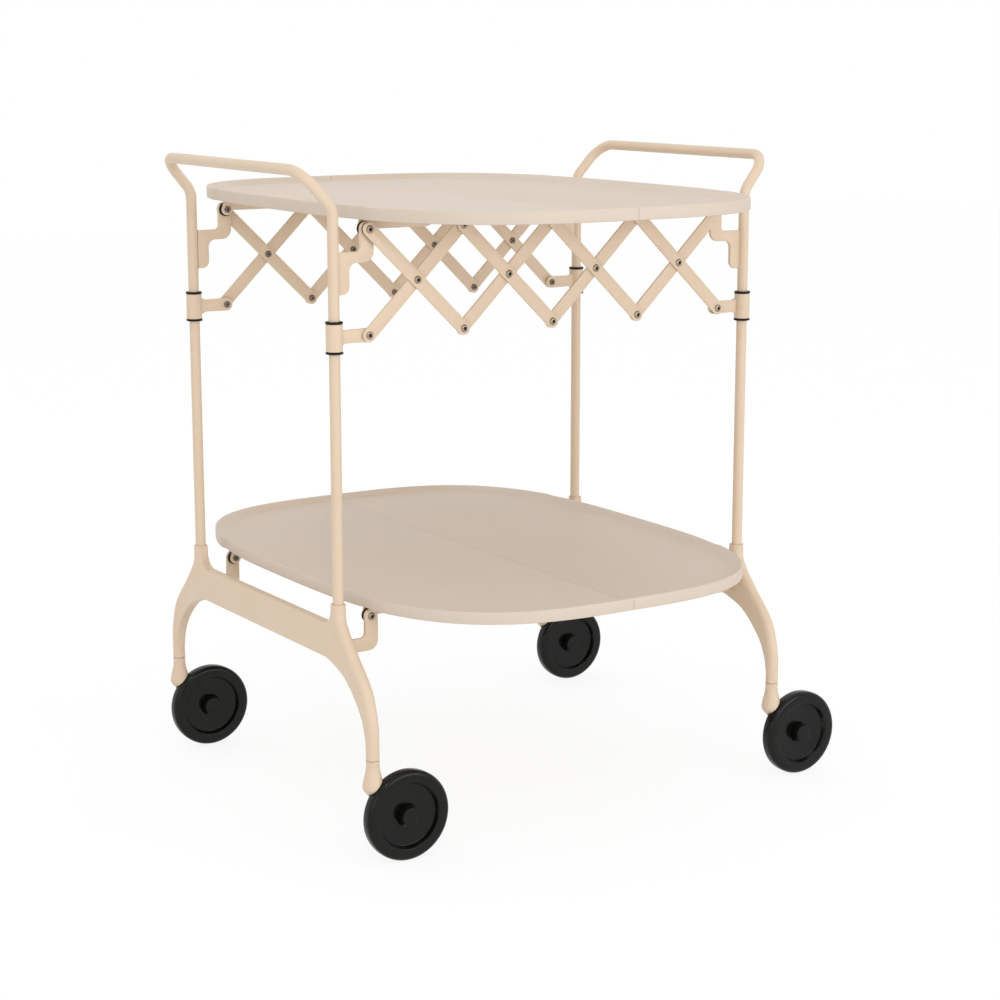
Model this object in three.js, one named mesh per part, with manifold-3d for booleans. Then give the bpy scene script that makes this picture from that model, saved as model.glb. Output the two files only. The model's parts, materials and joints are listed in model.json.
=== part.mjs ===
// Folding serving trolley: two bent-tube end frames on cast legs with swivel castors, two trays that are
// each hinged across the middle, and a scissor lattice between sliding collars at the front and the back.
// Millimetres, +Z up, origin on the floor under the middle of the overall size. X runs from the left to the
// right frame, Y from the front to the back. The right half is the left half turned half a turn about Z.
import * as THREE from 'three';
import { mergeVertices } from 'three/addons/utils/BufferGeometryUtils.js';
import Module from 'manifold-3d';

const wasm = await Module();
wasm.setup();

// Driving dimensions of the whole trolley
const postSpacingX = 515;
const postSpacingY = 324;
const tubeDiameter = 11.4;
const gripHeight = 692;
const gripRise = 38;
const gripOutreach = 33;
const gripLean = 4;
const outwardBendRadius = 22;
const gripCornerRadius = 26;
const socketHeight = 255.5;
const legEndHeight = 109;
const legSplay = 67.5;
const upperPivotDrop = 59;
const lowerPivotHeight = 237.5;
const pivotInset = 38.5;
const latticeHeight = 105.8;
const latticeUnits = 4;
const trayHalfWidth = 238;
const trayHalfDepth = 318;
const trayRoundness = 3.15;

// Clearances
const seatGap = 0.3;
const swivelGap = 0.7;
const cutOverrun = 2;
const weldDistance = 0.0001;

// Where the flat pieces lie, measured outwards from the plane of the post axes
const plateThickness = 4;
const plateOuterFace = 0.3;
const linkThickness = 2.5;

// The posts bend outwards a fixed rise below the grip, and the upper pivots keep their drop below it
const bendHeight = gripHeight - gripRise;
const upperPivotHeight = gripHeight - upperPivotDrop;
const innerLinkFace = plateOuterFace + seatGap;
const outerLinkFace = innerLinkFace + linkThickness + seatGap;
const plateInnerFace = plateOuterFace - plateThickness;
const latticeSpan = postSpacingX - 2 * pivotInset;
const unitWidth = latticeSpan / latticeUnits;
const linkLength = Math.hypot(unitWidth, latticeHeight);
const linkAngle = Math.atan2(latticeHeight, unitWidth);
const collarHeight = upperPivotHeight - latticeHeight;
const postX = -postSpacingX / 2;
const postY = postSpacingY / 2;
const pivotX = postX + pivotInset;
const tubeRadius = tubeDiameter / 2;

const finish = (color, roughness, metalness) => new THREE.MeshStandardMaterial({ color, roughness, metalness });
const framePaint = 0xe2cdb5;
const trayPlastic = 0xdccfc2;
const blackPlastic = 0x1f1d1b;
const blackRubber = 0x22201e;
const bareSteel = 0xb9b4ac;

// A closed geometry with merged corners, no empty triangles and its faces pointing out
function closed(geometry) {
  geometry.deleteAttribute('normal');
  geometry.deleteAttribute('uv');
  const merged = mergeVertices(geometry, weldDistance);
  const index = merged.index.array;
  const position = merged.attributes.position;
  const kept = [];
  for (let i = 0; i < index.length; i += 3) {
    const [a, b, c] = [index[i], index[i + 1], index[i + 2]];
    if (a !== b && b !== c && c !== a) kept.push([a, b, c]);
  }
  let volume = 0;
  const corner = [new THREE.Vector3(), new THREE.Vector3(), new THREE.Vector3()];
  for (const face of kept) {
    face.forEach((v, k) => corner[k].fromBufferAttribute(position, v));
    volume += corner[0].dot(corner[1].clone().cross(corner[2]));
  }
  const turned = volume < 0 ? kept.map(([a, b, c]) => [a, c, b]) : kept;
  merged.setIndex(turned.flat());
  return merged;
}

function toSolid(geometry) {
  const mesh = closed(geometry);
  const vertProperties = new Float32Array(mesh.attributes.position.array);
  const triVerts = new Uint32Array(mesh.index.array);
  return new wasm.Manifold(new wasm.Mesh({ numProp: 3, vertProperties, triVerts }));
}

function toGeometry(solid) {
  const { vertProperties, triVerts, numProp } = solid.getMesh();
  const geometry = new THREE.BufferGeometry();
  const points = [];
  for (let i = 0; i < vertProperties.length; i += numProp) {
    points.push(vertProperties[i], vertProperties[i + 1], vertProperties[i + 2]);
  }
  geometry.setAttribute('position', new THREE.Float32BufferAttribute(points, 3));
  geometry.setIndex(Array.from(triVerts));
  return geometry;
}

const joined = (solids) => solids.reduce((whole, next) => whole.add(next));
const less = (solid, cuts) => cuts.reduce((whole, next) => whole.subtract(next), solid);

// Corners of an outline, each [x, y, radius], rounded into short straight steps
function rounded(corners, stepsPerQuarter = 4) {
  const points = [];
  corners.forEach(([x, y, radius = 0], i) => {
    const here = new THREE.Vector2(x, y);
    const before = corners[(i + corners.length - 1) % corners.length];
    const after = corners[(i + 1) % corners.length];
    if (radius === 0) {
      points.push(here);
      return;
    }
    const inward = new THREE.Vector2(before[0], before[1]).sub(here).normalize();
    const onward = new THREE.Vector2(after[0], after[1]).sub(here).normalize();
    const opening = Math.acos(THREE.MathUtils.clamp(inward.dot(onward), -1, 1));
    const reach = radius / Math.tan(opening / 2);
    const centre = here.clone().add(inward.clone().add(onward).normalize()
      .multiplyScalar(radius / Math.sin(opening / 2)));
    const start = here.clone().addScaledVector(inward, reach).sub(centre);
    const end = here.clone().addScaledVector(onward, reach).sub(centre);
    const sweep = Math.PI - opening;
    const turn = Math.sign(start.cross(end)) * sweep;
    const steps = Math.max(1, Math.ceil(stepsPerQuarter * sweep / (Math.PI / 2)));
    for (let k = 0; k <= steps; k += 1) {
      points.push(start.clone().rotateAround(new THREE.Vector2(), turn * k / steps).add(centre));
    }
  });
  return points;
}

function arc(x, y, radius, from, sweep, steps) {
  return Array.from({ length: steps + 1 }, (_, k) => {
    const angle = from + sweep * k / steps;
    return new THREE.Vector2(x + radius * Math.cos(angle), y + radius * Math.sin(angle));
  });
}

const circle = (x, y, radius, sides) => arc(x, y, radius, 0, 2 * Math.PI, sides).slice(1);

// A flat plate standing in the XZ plane: outline in x and z, thickness from y = 0 towards -y
function uprightPlate(points, thickness, holes = []) {
  const shape = new THREE.Shape(points);
  holes.forEach((hole) => shape.holes.push(new THREE.Path(hole)));
  return new THREE.ExtrudeGeometry(shape, { depth: thickness, bevelEnabled: false }).rotateX(Math.PI / 2);
}

// A flat slab lying in the XY plane between two heights
function flatSlab(points, bottom, top) {
  return new THREE.ExtrudeGeometry(new THREE.Shape(points), { depth: top - bottom, bevelEnabled: false })
    .translate(0, 0, bottom);
}

// A turned piece: profile of [radius, place along the axis], about the Y axis or the Z axis
function turnedY(profile, sides) {
  return new THREE.LatheGeometry(profile.map(([r, y]) => new THREE.Vector2(r, y)), sides);
}

// The same with flats instead of edges at its radii, so that a wheel stands on a flat
function turnedOnFlats(profile, sides) {
  const toCorner = 1 / Math.cos(Math.PI / sides);
  return turnedY(profile.map(([r, y]) => [r * toCorner, y]), sides).rotateY(Math.PI / sides);
}

function turnedZ(profile, sides) {
  return turnedY(profile, sides).rotateX(Math.PI / 2);
}

// A path that is sampled at its own stations, so that bends get short steps and straights long ones
class StationPath extends THREE.Curve {
  constructor(stations) {
    super();
    this.stations = stations;
  }

  getPoint(t) {
    const place = THREE.MathUtils.clamp(t, 0, 1) * (this.stations.length - 1);
    const index = Math.min(Math.floor(place), this.stations.length - 2);
    return this.stations[index].clone().lerp(this.stations[index + 1], place - index);
  }

  getPointAt(u) {
    return this.getPoint(u);
  }

  getTangentAt(u) {
    return this.getTangent(u);
  }
}

function bentRod(stations, radius, sides) {
  const section = new THREE.Shape(circle(0, 0, radius, sides));
  const extrudePath = new StationPath(stations);
  return new THREE.ExtrudeGeometry(section, { steps: stations.length - 1, bevelEnabled: false, extrudePath });
}

// Stations along a path of straight runs with round bends: corners are [point, radius]
function bentStations(corners, stepsPerBend) {
  const stations = [];
  corners.forEach(([point, radius], i) => {
    if (!radius) {
      stations.push(point.clone());
      return;
    }
    const inward = corners[i - 1][0].clone().sub(point).normalize();
    const onward = corners[i + 1][0].clone().sub(point).normalize();
    const opening = inward.angleTo(onward);
    const reach = radius / Math.tan(opening / 2);
    const centre = point.clone().addScaledVector(inward.clone().add(onward).normalize(),
      radius / Math.sin(opening / 2));
    const start = point.clone().addScaledVector(inward, reach).sub(centre);
    const normal = start.clone().cross(point.clone().addScaledVector(onward, reach).sub(centre)).normalize();
    const sweep = Math.PI - opening;
    for (let k = 0; k <= stepsPerBend; k += 1) {
      stations.push(start.clone().applyAxisAngle(normal, sweep * k / stepsPerBend).add(centre));
    }
  });
  return stations;
}

const trolley = new THREE.Group();

function addPiece(group, name, geometry, material, place = [0, 0, 0], turn = 0) {
  const piece = new THREE.Mesh(geometry, material);
  piece.name = name;
  piece.position.set(...place);
  piece.rotation.y = turn;
  group.add(piece);
}

// The bent tube of one end frame: two posts, leaning outwards at the top into a horizontal grip
const socketDepth = 22;
const tubeSides = 10;
const bendSteps = 5;

function frameTube() {
  const corner = (x, y, z) => new THREE.Vector3(x, y, z);
  const foot = socketHeight - socketDepth + seatGap;
  const gripY = postY - gripLean;
  const corners = [
    [corner(postX, -postY, foot), 0],
    [corner(postX, -postY, bendHeight), outwardBendRadius],
    [corner(postX - gripOutreach, -gripY, gripHeight), gripCornerRadius],
    [corner(postX - gripOutreach, gripY, gripHeight), gripCornerRadius],
    [corner(postX, postY, bendHeight), outwardBendRadius],
    [corner(postX, postY, foot), 0],
  ];
  return closed(bentRod(bentStations(corners, bendSteps), tubeRadius, tubeSides));
}

// The cast leg piece: a deep straight crossbeam between two splayed round legs, with a socket for each post
const legRadius = 7;
const socketRadius = 7.4;
const beamThickness = 11;
const beamTop = 232;
const beamDepth = 36;
const beamFilletRadius = 16;
const stemRadius = 4;
const stemBoreClearance = 0.4;
const stemLength = 28;
const legCurveSteps = 9;
const webCurveSteps = 6;
const rodSides = 8;
const socketSides = 12;
// Down the leg: outward place as a share of the splay, drop as a share of the casting's height
const legCentreShares = [[0, 0], [0.02, 0.1], [0.14, 0.2], [0.44, 0.357], [0.7, 0.477], [0.87, 0.588],
  [0.985, 0.767], [1, 0.92], [1, 1]];
const webInnerShares = [[0.94, 1], [0.93, 0.92], [0.83, 0.761], [0.622, 0.625], [0.26, 0.488],
  [-0.2, 0.415], [-0.45, 0.406]];

function legCasting() {
  const height = socketHeight - legEndHeight;
  const legPoint = ([outShare, dropShare]) => [postY + outShare * legSplay, socketHeight - dropShare * height];
  const splineThrough = (shares) => new THREE.SplineCurve(shares.map((share) => (
    new THREE.Vector2(...legPoint(share)))));
  const centre = splineThrough(legCentreShares).getPoints(legCurveSteps);
  const inner = splineThrough(webInnerShares).getPoints(webCurveSteps);
  const beamBottom = beamTop - beamDepth;
  const socketInner = postY - socketRadius;
  const topFillet = rounded([
    [0, beamTop], [socketInner, beamTop, beamFilletRadius], [socketInner, socketHeight]]).slice(1, -1);
  const half = [
    new THREE.Vector2(0, beamTop), ...topFillet,
    new THREE.Vector2(socketInner, socketHeight - seatGap), ...centre,
    ...inner.map((point) => new THREE.Vector2(point.x, Math.min(point.y, beamBottom))),
    new THREE.Vector2(0, beamBottom),
  ];
  const mirrored = half.slice(1, -1).reverse().map((point) => new THREE.Vector2(-point.x, point.y));
  const web = new THREE.ExtrudeGeometry(new THREE.Shape([...half, ...mirrored]),
    { depth: beamThickness, bevelEnabled: false })
    .rotateX(Math.PI / 2).rotateZ(Math.PI / 2).translate(-beamThickness / 2, 0, 0);
  const solids = [toSolid(web)];
  const cuts = [];
  for (const row of [-1, 1]) {
    const stations = centre.map((point) => new THREE.Vector3(0, row * point.x, point.y));
    stations[0].z -= seatGap;
    solids.push(toSolid(bentRod(stations, legRadius, rodSides)));
    const socketFoot = socketHeight - socketDepth - beamFilletRadius;
    const socket = turnedZ([[0, socketFoot], [legRadius, socketFoot], [socketRadius + seatGap,
      socketHeight - socketDepth], [socketRadius, socketHeight], [0, socketHeight]], socketSides);
    solids.push(toSolid(socket.translate(0, row * postY, 0)));
    const bore = tubeRadius + seatGap;
    const postBore = turnedZ([[0, socketHeight - socketDepth], [bore, socketHeight - socketDepth],
      [bore, socketHeight + cutOverrun], [0, socketHeight + cutOverrun]], socketSides);
    cuts.push(toSolid(postBore.translate(0, row * postY, 0)));
    const stemBore = stemRadius + stemBoreClearance;
    const stemTop = legEndHeight + stemLength + seatGap;
    const castorBore = turnedZ([[0, legEndHeight - cutOverrun], [stemBore, legEndHeight - cutOverrun],
      [stemBore, stemTop], [0, stemTop]], socketSides);
    cuts.push(toSolid(castorBore.translate(0, row * (postY + legSplay), 0)));
    solids.push(toSolid(lowerBracket().translate(pivotInset, rowPlace(row, plateInnerFace, plateThickness),
      lowerPivotHeight)));
  }
  return toGeometry(less(joined(solids), cuts)).translate(postX, 0, 0);
}

// Where a flat piece stands: its inner face lies this far outwards from the plane of the post axes
const rowPlace = (row, innerFace, thickness) => (row < 0 ? -postY - innerFace : postY + innerFace + thickness);

// Flat brackets, each a bent outline with a round eye for a tray pivot; x and z run from that pivot
const eyeRadius = 7.5;
const shaftRadius = 2.2;
const pivotHole = shaftRadius + seatGap;
const bracketDrop = 22;
const bracketArmDepth = 11;
const bracketTabWidth = 13;
const bracketTabLength = 31;
const bracketInnerBend = 5;
const bracketOuterBend = 11;
const bracketTabBend = 8;
const lowerArmDepth = 14;

const eyeSteps = 6;
const holeSides = 8;
const eyeTop = () => arc(0, 0, eyeRadius, 0, Math.PI, eyeSteps).map((point) => [point.x, point.y]);

function upperBracket() {
  const postSide = -pivotInset + tubeRadius + seatGap;
  const armBottom = -bracketDrop - bracketArmDepth;
  const tabBottom = armBottom - bracketTabLength;
  const corners = [
    ...eyeTop(),
    [-eyeRadius, -bracketDrop, bracketInnerBend],
    [postSide, -bracketDrop],
    [postSide, tabBottom],
    [postSide + bracketTabWidth, tabBottom, bracketTabBend],
    [postSide + bracketTabWidth, armBottom, bracketTabBend],
    [eyeRadius, armBottom, bracketOuterBend],
  ];
  return uprightPlate(rounded(corners, 3), plateThickness, [circle(0, 0, pivotHole, holeSides)]);
}

// The lower bracket is cast in one with the crossbeam, so it starts inside the beam
function lowerBracket() {
  const armBottom = -bracketDrop - lowerArmDepth;
  const corners = [
    ...eyeTop(),
    [-eyeRadius, -bracketDrop, bracketInnerBend],
    [-pivotInset, -bracketDrop],
    [-pivotInset, armBottom],
    [eyeRadius, armBottom, bracketOuterBend],
  ];
  return uprightPlate(rounded(corners, 3), plateThickness, [circle(0, 0, pivotHole, holeSides)]);
}

// A collar that slides on a post: a painted sleeve with a flat arm towards the lattice, lined by a black
// bush whose flanges show above and below it
const collarRadius = 8.5;
const collarLength = 27.5;
const linerClearance = 0.3;
const linerThickness = 0.9;
const collarSides = 12;
const armHalfWidth = 7;
const flangeRadius = 9;
const flangeThickness = 2.2;

const linerBore = tubeRadius + linerClearance;
const linerRadius = linerBore + linerThickness;

function collar(row) {
  const bore = linerRadius + seatGap;
  const halfLength = collarLength / 2;
  const sleeve = turnedZ([[0, -halfLength], [collarRadius, -halfLength], [collarRadius, halfLength],
    [0, halfLength]], collarSides);
  const passage = turnedZ([[0, -collarLength], [bore, -collarLength], [bore, collarLength],
    [0, collarLength]], collarSides);
  const armEnd = arc(pivotInset, 0, armHalfWidth, -Math.PI / 2, Math.PI, eyeSteps);
  const arm = uprightPlate([...armEnd, new THREE.Vector2(0, armHalfWidth), new THREE.Vector2(0, -armHalfWidth)],
    plateThickness, [circle(pivotInset, 0, pivotHole, holeSides)])
    .translate(0, rowPlace(row, plateInnerFace, plateThickness) - row * postY, 0);
  return toGeometry(less(joined([toSolid(sleeve), toSolid(arm)]), [toSolid(passage)]));
}

function collarLiner() {
  const inner = collarLength / 2 + seatGap;
  const outer = inner + flangeThickness;
  return closed(turnedZ([[linerBore, -outer], [flangeRadius, -outer], [flangeRadius, -inner],
    [linerRadius, -inner], [linerRadius, inner], [flangeRadius, inner], [flangeRadius, outer],
    [linerBore, outer], [linerBore, -outer]], collarSides));
}

// A lattice link: a flat strip with round ends. Outwards from its inner face it carries at each of its three
// places a hole, a spacer with a hole, a rivet that holds the piece behind it, or half of an open pivot
const linkHalfWidth = 7;
const headRadius = 4;
const headHeight = 1.8;
const headCrownRadius = 2.4;
const nutRadius = 3.6;
const nutHeight = 1.4;
const screwSides = 6;
const spacerRadius = 6.5;
const spacerLength = outerLinkFace - innerLinkFace;

const headProfile = (seat) => [[headRadius, seat], [headCrownRadius, seat + headHeight],
  [0, seat + headHeight]];
const nutProfile = (seat) => [[0, seat - nutHeight], [nutRadius, seat - nutHeight], [nutRadius, seat]];

function latticeLink(row, fittings) {
  const turned = (profile, sides) => toSolid(turnedY(profile.map(([r, out]) => [r, row * out]), sides));
  const outline = [...arc(linkLength / 2, 0, linkHalfWidth, -Math.PI / 2, Math.PI, eyeSteps),
    ...arc(-linkLength / 2, 0, linkHalfWidth, Math.PI / 2, Math.PI, eyeSteps)];
  const strip = uprightPlate(outline, linkThickness).translate(0, row < 0 ? 0 : linkThickness, 0);
  const middle = linkThickness / 2;
  const solids = [toSolid(strip)];
  const cuts = [];
  fittings.forEach(({ hole, spacer, head, nut, reach }, place) => {
    const x = (place - 1) * linkLength / 2;
    const add = (profile) => solids.push(turned(profile, screwSides).translate([x, 0, 0]));
    if (spacer) add([[0, -spacerLength], [spacerRadius, -spacerLength], [spacerRadius, middle], [0, middle]]);
    if (hole) {
      const far = spacerLength + cutOverrun;
      const bore = [[0, -far], [pivotHole, -far], [pivotHole, far], [0, far]];
      cuts.push(turned(bore, holeSides).translate([x, 0, 0]));
    }
    if (head) add([[0, middle], [headRadius, middle], ...headProfile(linkThickness)]);
    if (nut) add([...nutProfile(-reach), [shaftRadius, -reach], [shaftRadius, middle], [0, middle]]);
  });
  return toGeometry(less(joined(solids), cuts));
}

// The pivot pin of a tray: head outside, nut inside, and a thick black washer between the plate and the arm
const washerRadius = 7.4;
const washerSides = 8;
const washerThickness = 4.4;
const armThickness = 2.4;

const armOuterFace = plateInnerFace - washerThickness;
const armInnerFace = armOuterFace - armThickness;

function trayPivotPin(row, outerFace) {
  const nutSeat = armInnerFace - seatGap;
  const washerInner = armOuterFace + seatGap / 2;
  const washerOuter = plateInnerFace - seatGap / 2;
  const profile = [...nutProfile(nutSeat), [shaftRadius, nutSeat], [shaftRadius, washerInner],
    [washerRadius, washerInner], [washerRadius, washerOuter], [shaftRadius, washerOuter],
    [shaftRadius, outerFace + seatGap], ...headProfile(outerFace + seatGap)];
  return closed(turnedY(profile.map(([r, out]) => [r, row * out]), washerSides));
}

// Half a tray: a rounded-square dish with a low rim, a skirt below, and a wide sloped lip at its end wall
const wallHeight = 13;
const wellDepth = 6.5;
const floorThickness = 3;
const wallThickness = 3.6;
const skirtClearance = 9.4;
const endRecess = 2.8;
const recessInside = 2;
const recessOutside = 12;
const recessStepShares = [0, 0.33, 0.67, 1];
const lipWidth = 17;
const splitGap = 0.3;
const outlineSteps = 28;

const recessStart = postY - recessInside;
const recessEnd = postY + recessOutside;
const skirtBottom = skirtClearance;
const rimTop = skirtBottom + wallHeight;
const floorTop = rimTop - wellDepth;
const floorBottom = floorTop - floorThickness;

// The outline of the left half, drawn in by an inset, as a superellipse whose end is set back a little
function trayOutline(inset, splitX) {
  const points = [];
  const reach = (angle) => {
    const x = (trayHalfWidth - inset) * Math.abs(Math.cos(angle)) ** (2 / trayRoundness);
    const y = (trayHalfDepth - inset) * Math.sign(Math.sin(angle))
      * Math.abs(Math.sin(angle)) ** (2 / trayRoundness);
    const blend = THREE.MathUtils.smoothstep(Math.abs(y), recessStart, recessEnd);
    return new THREE.Vector2(-x + endRecess * (1 - blend), y);
  };
  const stationAngles = recessStepShares.flatMap((share) => {
    const y = THREE.MathUtils.lerp(recessStart, recessEnd, share);
    const angle = Math.asin((y / trayHalfDepth) ** (trayRoundness / 2));
    return [angle, -angle];
  });
  const evenAngles = Array.from({ length: outlineSteps - 1 }, (_, k) => (
    Math.PI / 2 - Math.PI * (k + 1) / outlineSteps)).filter((angle) => (
    stationAngles.every((station) => Math.abs(station - angle) > Math.PI / outlineSteps / 4)));
  points.push(...[...evenAngles, ...stationAngles].sort((a, b) => b - a).map(reach));
  const depth = trayHalfDepth - inset;
  return [new THREE.Vector2(splitX, -depth), new THREE.Vector2(splitX, depth), ...points];
}

function trayHalf() {
  const body = toSolid(flatSlab(trayOutline(0, -splitGap / 2), skirtBottom, rimTop));
  const well = toSolid(flatSlab(trayOutline(wallThickness, cutOverrun), floorTop, rimTop + cutOverrun));
  const underside = toSolid(flatSlab(trayOutline(wallThickness, cutOverrun), skirtBottom - cutOverrun,
    floorBottom));
  const wallInside = -trayHalfWidth + endRecess + wallThickness - cutOverrun;
  const lip = new THREE.Shape([new THREE.Vector2(wallInside, floorTop - cutOverrun / 2),
    new THREE.Vector2(wallInside + lipWidth, floorTop - cutOverrun / 2),
    new THREE.Vector2(wallInside + lipWidth, floorTop), new THREE.Vector2(wallInside, rimTop - seatGap)]);
  const lipBar = new THREE.ExtrudeGeometry(lip, { depth: 2 * recessStart, bevelEnabled: false })
    .rotateX(Math.PI / 2).translate(0, recessStart, 0);
  return toGeometry(joined([less(body, [well, underside]), toSolid(lipBar).intersect(body)]));
}

// The steel carrier under half a tray: a rail near each end of the cross strip, each deep at its outer part,
// with an eye at the end pivot and a knuckle of the middle hinge at the split. One knuckle carries the hinge
// pin. The arm leans back above its eye, to clear the tray's skirt
const armEyeRadius = 6.4;
const armLength = 75;
const armTaper = 25;
const armDrop = 1;
const armLean = 4;
const hingeAxisHeight = 5;
const railHeight = 3.2;
const knuckleRadius = 3.2;
const knuckleStart = Math.PI / 3;
const knuckleLength = 10;
const hingePinRadius = 1.5;
const railEndGap = 2;
const stripEdge = 16;
const stripWidth = 16;
const leafOverlap = 3;

const railTop = floorBottom - seatGap;
const railBottom = railTop - railHeight;

function trayCarrier() {
  const eye = arc(pivotX, 0, armEyeRadius, Math.PI, Math.PI - Math.asin(armDrop / armEyeRadius), eyeSteps);
  const knuckle = arc(0, hingeAxisHeight, knuckleRadius, Math.PI, Math.PI + knuckleStart, eyeSteps);
  const corner = (x, z) => new THREE.Vector2(x, z);
  const railEnd = -knuckleRadius - railEndGap;
  const armUnderside = [...eye, corner(pivotX + armLength, -armDrop),
    corner(pivotX + armLength + armTaper, railBottom)];
  const hole = [circle(pivotX, 0, pivotHole, holeSides)];
  const armTop = corner(pivotX - armEyeRadius + armLean, railTop);
  const pinnedRail = uprightPlate([...armUnderside, corner(-knuckleRadius, railBottom), ...knuckle,
    corner(-seatGap, railTop), armTop], armThickness, hole)
    .translate(0, rowPlace(-1, armInnerFace, armThickness), 0);
  const plainRail = uprightPlate([...armUnderside, corner(railEnd, railBottom), corner(railEnd, railTop), armTop],
    armThickness, hole)
    .translate(0, rowPlace(1, armInnerFace, armThickness), 0);
  const innerY = postY + armInnerFace;
  const leafEdge = -stripEdge - leafOverlap;
  const leaf = uprightPlate([corner(leafEdge, railBottom), corner(-knuckleRadius, railBottom), ...knuckle,
    corner(-seatGap, railTop), corner(leafEdge, railTop)], knuckleLength - seatGap,
  [circle(0, hingeAxisHeight, hingePinRadius + seatGap, holeSides)]).translate(0, innerY - seatGap, 0);
  const pinStart = -innerY - armThickness / 2;
  const pinEnd = -innerY + knuckleLength + seatGap;
  const pin = turnedY([[0, pinStart], [hingePinRadius, pinStart], [hingePinRadius, pinEnd], [0, pinEnd]],
    holeSides).translate(0, 0, hingeAxisHeight);
  const stripReach = innerY + armThickness / 2;
  const strip = flatSlab([corner(-stripEdge - stripWidth, -stripReach), corner(-stripEdge, -stripReach),
    corner(-stripEdge, stripReach), corner(-stripEdge - stripWidth, stripReach)], railBottom, railTop);
  return toGeometry(joined([pinnedRail, plainRail, leaf, pin, strip].map(toSolid)));
}

// Swivel castor: a drop-shaped housing on a stem, with an arm down one side of the wheel to its axle
const wheelRadius = 47.4;
const wheelWidth = 14.5;
const wheelOffset = 8.2;
const castorTrail = 33.8;
const axleRadius = 3;
const housingTopRadius = 7;
const housingWidestRadius = 10.3;
const housingWidestDrop = 26;
const housingLength = 39;
// Down the housing: radius as a share of the widest, drop as a share of the length
const housingShares = [[0, 1], [0.5, 0.97], [0.83, 0.88], [0.98, 0.74], [1, 0.6], [0.9, 0.42], [0.76, 0.28]];
const housingSides = 12;
const castorArmThickness = 6;
const axleBossRadius = 9;
const capRadius = 10;
const capProud = 3.5;
const capEdge = 1.2;
const axleNutRadius = 5;
const dishRadius = 33.5;
const dishDepth = 5.5;
const dishLip = 1.5;
const backDishDepth = 2.5;
const wheelShoulder = 4.5;
const shoulderShare = 0.3;
const wheelSides = 20;
const axleSides = 10;

const wheelFront = -wheelOffset - wheelWidth / 2;
const wheelBack = -wheelOffset + wheelWidth / 2;
const castorArmFace = wheelBack + swivelGap;

function castorHousing() {
  const top = legEndHeight - swivelGap;
  const stemTop = top + stemLength - swivelGap;
  const housing = turnedZ([
    ...housingShares.map(([wide, down]) => [wide * housingWidestRadius, top - down * housingLength]),
    [housingTopRadius, top - housingTopRadius], [housingTopRadius, top], [stemRadius, top],
    [stemRadius, stemTop], [0, stemTop]], housingSides);
  const bossAngle = Math.atan2(wheelRadius - (top - housingWidestDrop), castorTrail);
  const outline = [
    ...arc(castorTrail, wheelRadius, axleBossRadius, bossAngle - Math.PI / 2, Math.PI, eyeSteps),
    ...arc(0, top - housingWidestDrop, axleBossRadius, bossAngle + Math.PI / 2, Math.PI, eyeSteps)];
  const arm = uprightPlate(outline, castorArmThickness).translate(0, castorArmFace + castorArmThickness, 0);
  const clearRadius = wheelRadius + swivelGap;
  const wheelSpace = turnedOnFlats([[0, -clearRadius], [clearRadius, -clearRadius], [clearRadius, castorArmFace],
    [0, castorArmFace]], wheelSides).translate(castorTrail, 0, wheelRadius);
  const bore = turnedY([[0, -clearRadius], [axleRadius + seatGap, -clearRadius],
    [axleRadius + seatGap, clearRadius], [0, clearRadius]], axleSides).translate(castorTrail, 0, wheelRadius);
  return toGeometry(less(joined([toSolid(housing), toSolid(arm)]), [toSolid(wheelSpace), toSolid(bore)]));
}

function castorWheel() {
  const bore = axleRadius + seatGap;
  const front = wheelFront;
  const back = wheelBack;
  const softened = wheelShoulder * shoulderShare;
  const profile = [[bore, back - backDishDepth], [dishRadius - backDishDepth, back - backDishDepth],
    [dishRadius, back], [wheelRadius - wheelShoulder, back],
    [wheelRadius, back - wheelShoulder], [wheelRadius, front + wheelShoulder],
    [wheelRadius - softened, front + softened], [wheelRadius - wheelShoulder, front],
    [dishRadius, front], [dishRadius - dishLip, front + dishDepth - dishLip],
    [capRadius, front + dishDepth], [bore, front + dishDepth], [bore, back - backDishDepth]];
  return closed(turnedOnFlats(profile, wheelSides).translate(castorTrail, 0, wheelRadius));
}

function castorAxle() {
  const capBack = wheelFront + dishDepth - seatGap;
  const capFront = wheelFront - capProud;
  const armBack = castorArmFace + castorArmThickness + seatGap;
  const profile = [[0, armBack + nutHeight], [axleNutRadius, armBack + nutHeight], [axleNutRadius, armBack],
    [axleRadius, armBack], [axleRadius, capBack], [capRadius, capBack],
    [capRadius, capFront + capEdge], [capRadius - capEdge, capFront], [0, capFront]];
  return closed(turnedY(profile, axleSides).translate(castorTrail, 0, wheelRadius));
}

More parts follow.
